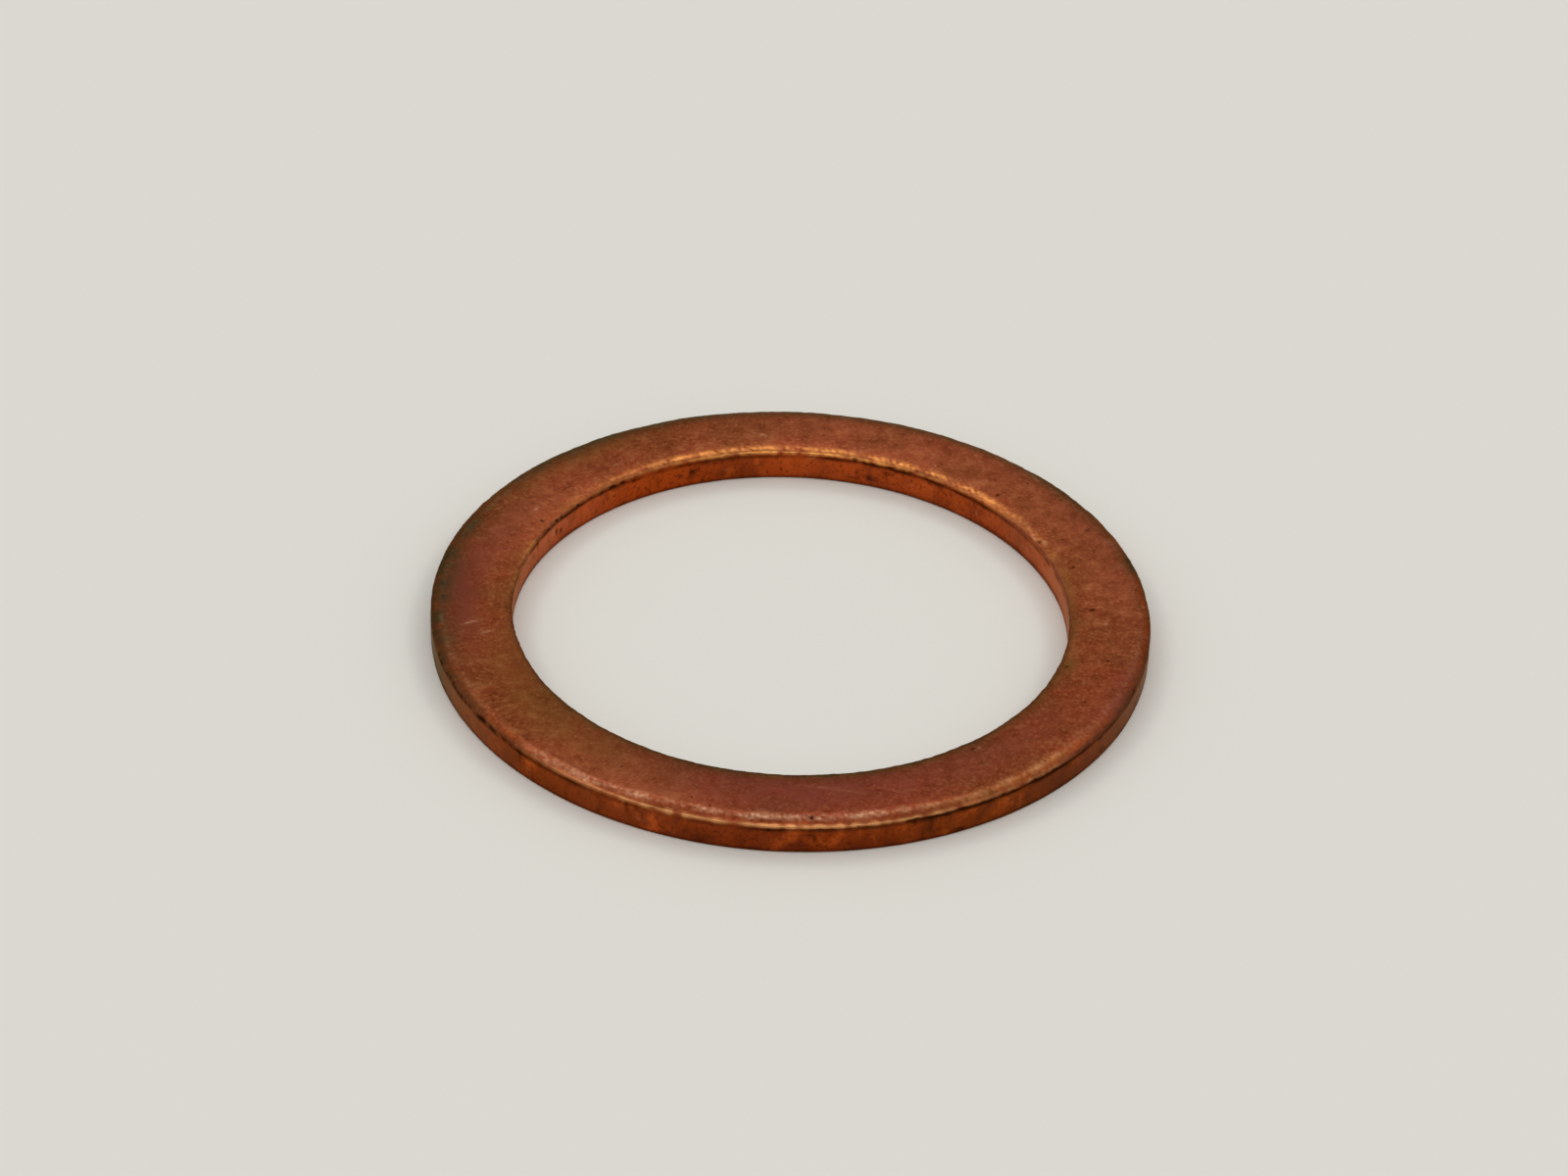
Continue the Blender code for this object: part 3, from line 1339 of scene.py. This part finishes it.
    def _rub_and_highlight_stretches(self) -> tuple[Array, Array]:
        """How much fingers and other parts have rubbed the ring where each point is, and where bare metal
        is painted as a highlight on the stretches that face the light.

        Returns:
            The rubbing and painted highlight of the rolls and of the lips, from 0 to 1.
        """
        rolls = np.where(
            self.is_outer,
            0.5 * self._stretch(-129.0, -45.0, 8.0) + 0.5 * self._stretch(-124.0, -78.0, 10.0),
            0.65 * self._stretch(52.0, 112.0, 20.0) + 0.35 * self._stretch(28.0, 138.0, 10.0),
        )
        lips = np.where(
            self.is_outer,
            0.30 * self._stretch(-132.0, -45.0, 7.0) + 0.70 * self._stretch(-110.0, -70.0, 12.0),
            0.7 * self._stretch(74.0, 104.0, 16.0)
            + 0.3 * self._stretch(40.0, 148.0, 8.0)
            + 0.8 * self._stretch(160.0, 174.0, 6.0),
        )
        return rolls, lips

    def _painted_shade_under_lip_and_at_foot(self, patchy: Array) -> Array:
        """Painted shade in the groove, under the lip and at the foot of the wall.

        Args:
            patchy: random waves along the ring.

        Returns:
            The painted shade at each point.
        """
        shelter = np.clip(0.42 + 0.14 * patchy, 0.0, 1.0) * self._band(-0.15, 0.09)
        # Heights in millimetres.
        bore_foot = 0.20 + 0.18 * self._stretch(18.0, 42.0, 10.0)
        bore_foot += 0.10 * self._stretch(145.0, 165.0, 8.0)
        foot_height = np.where(self.is_outer, 0.22, bore_foot) * MILLIMETRE
        foot = 0.6 * smooth_step(self.points[:, 2] / foot_height, 1.0, 0.2) * self.on_wall
        return 0.8 * self.groove + shelter + foot

    def _tarnish(self) -> dict[str, Array]:
        """Spread the stains over the ring.

        Returns:
            The density of each kind of tarnish at each point, by attribute name.
        """
        share = self.washer.share_at(self.points)
        radius = np.hypot(self.points[:, 0], self.points[:, 1])
        # The underside has patches of the same kinds in other places.
        underneath = self.normals[:, 2] < -0.7
        seen_angle = np.where(underneath, self.angle * 2.0 + 2.3, self.angle)
        values = {kind.value: np.zeros(len(radius)) for kind in Tarnish}
        for stain in self.STAINS:
            along = turn_between(seen_angle, stain.angle) * radius / stain.length
            across = (share - stain.share) * self.washer.width / stain.width
            values[stain.kind.value] += stain.strength * bell(np.hypot(along, across))
        return {name: np.clip(value, 0.0, 1.0) for name, value in values.items()}


# --------------------------------------------------------------------------------------------------
# The studio
# --------------------------------------------------------------------------------------------------


@dataclass
class Studio:
    """The paper that the washer lies on and the soft light round it.

    Attributes:
        floor_size: side of the paper, which reaches to the horizon in a low view.
        floor_gap: how far the paper lies below the washer.
        finish: the paper.
        horizon: brightness of the room near the floor.
        walls: brightness of the room below the softboxes.
        walls_from: sine of the height where the room has reached that brightness.
        glow: how much brighter the softboxes are.
        glow_from: sine of the height where the softboxes start.
        glow_to: sine of the height where they are brightest.
        glow_end: sine of the height where they end.
        overhead: brightness of the ceiling above them, as a share of theirs.
        zenith: brightness of the middle of the lamp straight above.
        lamp_edge: sine of the height of that lamp's edge.
        light_colour: colour of all that light.
        backdrop: colour that the camera sees beyond the paper.
    """

    floor_size: float = 6.0
    floor_gap: float = 0.01 * MILLIMETRE
    finish: MattePaper = field(default_factory=MattePaper)
    horizon: float = 0.22
    walls: float = 0.545
    walls_from: float = 0.45
    glow: float = 1.38
    glow_from: float = 0.62
    glow_to: float = 0.785
    glow_end: float = 0.885
    overhead: float = 0.21
    zenith: float = 2.2
    lamp_edge: float = 0.975
    light_colour: str = "#FFFDF8"
    backdrop: str = "#D9D7D0"

    def build(self) -> None:
        """Lay the paper and light the room."""
        self._lay_floor()
        self._light_room()

    def _lay_floor(self) -> None:
        """A square of paper just under the washer, marked as no part of the object."""
        half = self.floor_size / 2
        mesh = bpy.data.meshes.new("paper_floor")
        corners = [(-half, -half, 0.0), (half, -half, 0.0), (half, half, 0.0), (-half, half, 0.0)]
        mesh.from_pydata(corners, [], [(0, 1, 2, 3)])
        mesh.materials.append(self.finish.build())
        floor = bpy.data.objects.new("paper_floor", mesh)
        floor.location.z = -self.floor_gap
        bpy.context.scene.collection.objects.link(floor)

    def _light_room(self) -> None:
        """A room that is dim low down, bright at the softboxes all round, and softer overhead."""
        world = bpy.data.worlds.new("soft_room")
        bpy.context.scene.world = world
        world.use_nodes = True
        tree = world.node_tree
        tree.nodes.clear()
        direction = add_node(tree, "ShaderNodeTexCoord").outputs["Generated"]
        sine = add_node(tree, "ShaderNodeSeparateXYZ", inputs={"Vector": direction}).outputs["Z"]
        low = ranged(tree, sine, 0.0, self.walls_from, self.horizon, self.walls)
        glow = ranged(tree, sine, self.glow_from, self.glow_to, 0.0, self.glow)
        above = ranged(tree, sine, self.glow_to, self.glow_end, 1.0, self.overhead)
        lamp = ranged(tree, sine, self.lamp_edge, 1.0, 0.0, self.zenith)
        strength = total(tree, product(tree, total(tree, low, glow), above), lamp)
        light = {"Color": linear_colour(self.light_colour), "Strength": strength}
        room = add_node(tree, "ShaderNodeBackground", inputs=light)
        backdrop = add_node(tree, "ShaderNodeBackground", inputs={"Color": linear_colour(self.backdrop)})
        seen = add_node(tree, "ShaderNodeLightPath").outputs["Is Camera Ray"]
        both = add_node(
            tree,
            "ShaderNodeMixShader",
            inputs={0: seen, 1: room.outputs["Background"], 2: backdrop.outputs["Background"]},
        )
        add_node(tree, "ShaderNodeOutputWorld", inputs={"Surface": both.outputs["Shader"]})


@dataclass
class Viewpoint:
    """The camera: a long lens that looks down on the washer from the front.

    Attributes:
        elevation: height of the line of sight above the floor, in degrees.
        roll: turn of the camera about its line of sight, in degrees.
        distance: from the camera to the point it looks at, in outer radii of the washer.
        aim_right: where that point is to the right of the washer's centre, in outer radii.
        aim_back: where it is behind the centre, in outer radii.
        focal_length: in millimetres.
        sensor_width: in millimetres.
        nearest: distance from which things are drawn, in metres.
        farthest: distance up to which they are.
    """

    elevation: float = 34.94
    roll: float = 2.29
    distance: float = 14.38
    aim_right: float = -0.0218
    aim_back: float = 0.2130
    focal_length: float = 116.93
    sensor_width: float = 36.0
    nearest: float = 0.005
    farthest: float = 50.0

    def place(self, outer_radius: float) -> bpy.types.Object:
        """Put the camera in the scene.

        Args:
            outer_radius: radius of the washer, which the distances are counted in.

        Returns:
            The camera.
        """
        camera_data = bpy.data.cameras.new("camera")
        camera_data.lens = self.focal_length
        camera_data.sensor_width = self.sensor_width
        camera_data.clip_start = self.nearest
        camera_data.clip_end = self.farthest
        camera = bpy.data.objects.new("camera", camera_data)
        bpy.context.scene.collection.objects.link(camera)
        tilt = math.radians(self.elevation)
        back = Vector((0.0, -math.cos(tilt), math.sin(tilt)))
        aim = Vector((self.aim_right, self.aim_back, 0.0)) * outer_radius
        turned = back.to_track_quat("Z", "Y").to_matrix().to_4x4()
        turned @= Matrix.Rotation(math.radians(self.roll), 4, "Z")
        camera.matrix_world = Matrix.Translation(aim + back * self.distance * outer_radius) @ turned
        bpy.context.scene.camera = camera
        return camera


def main() -> None:
    """Build the washer, the studio and the camera, and report each piece."""
    logging.basicConfig(level=logging.INFO, format="%(name)s: %(message)s")
    bpy.context.scene.view_settings.view_transform = "Standard"
    plan = SealingWasher.from_frame()
    washer = plan.build()
    size = " x ".join(f"{length / MILLIMETRE:.2f}" for length in washer.dimensions)
    log.info("%s: %d faces, %s mm", washer.name, len(washer.data.polygons), size)
    Studio().build()
    log.info("paper_floor and the soft room are in place")
    camera = Viewpoint().place(plan.outer_edge.wall_radius)
    log.info("%s: %.0f mm lens", camera.name, camera.data.lens)
    bpy.context.view_layer.update()


if __name__ == "__main__":
    main()
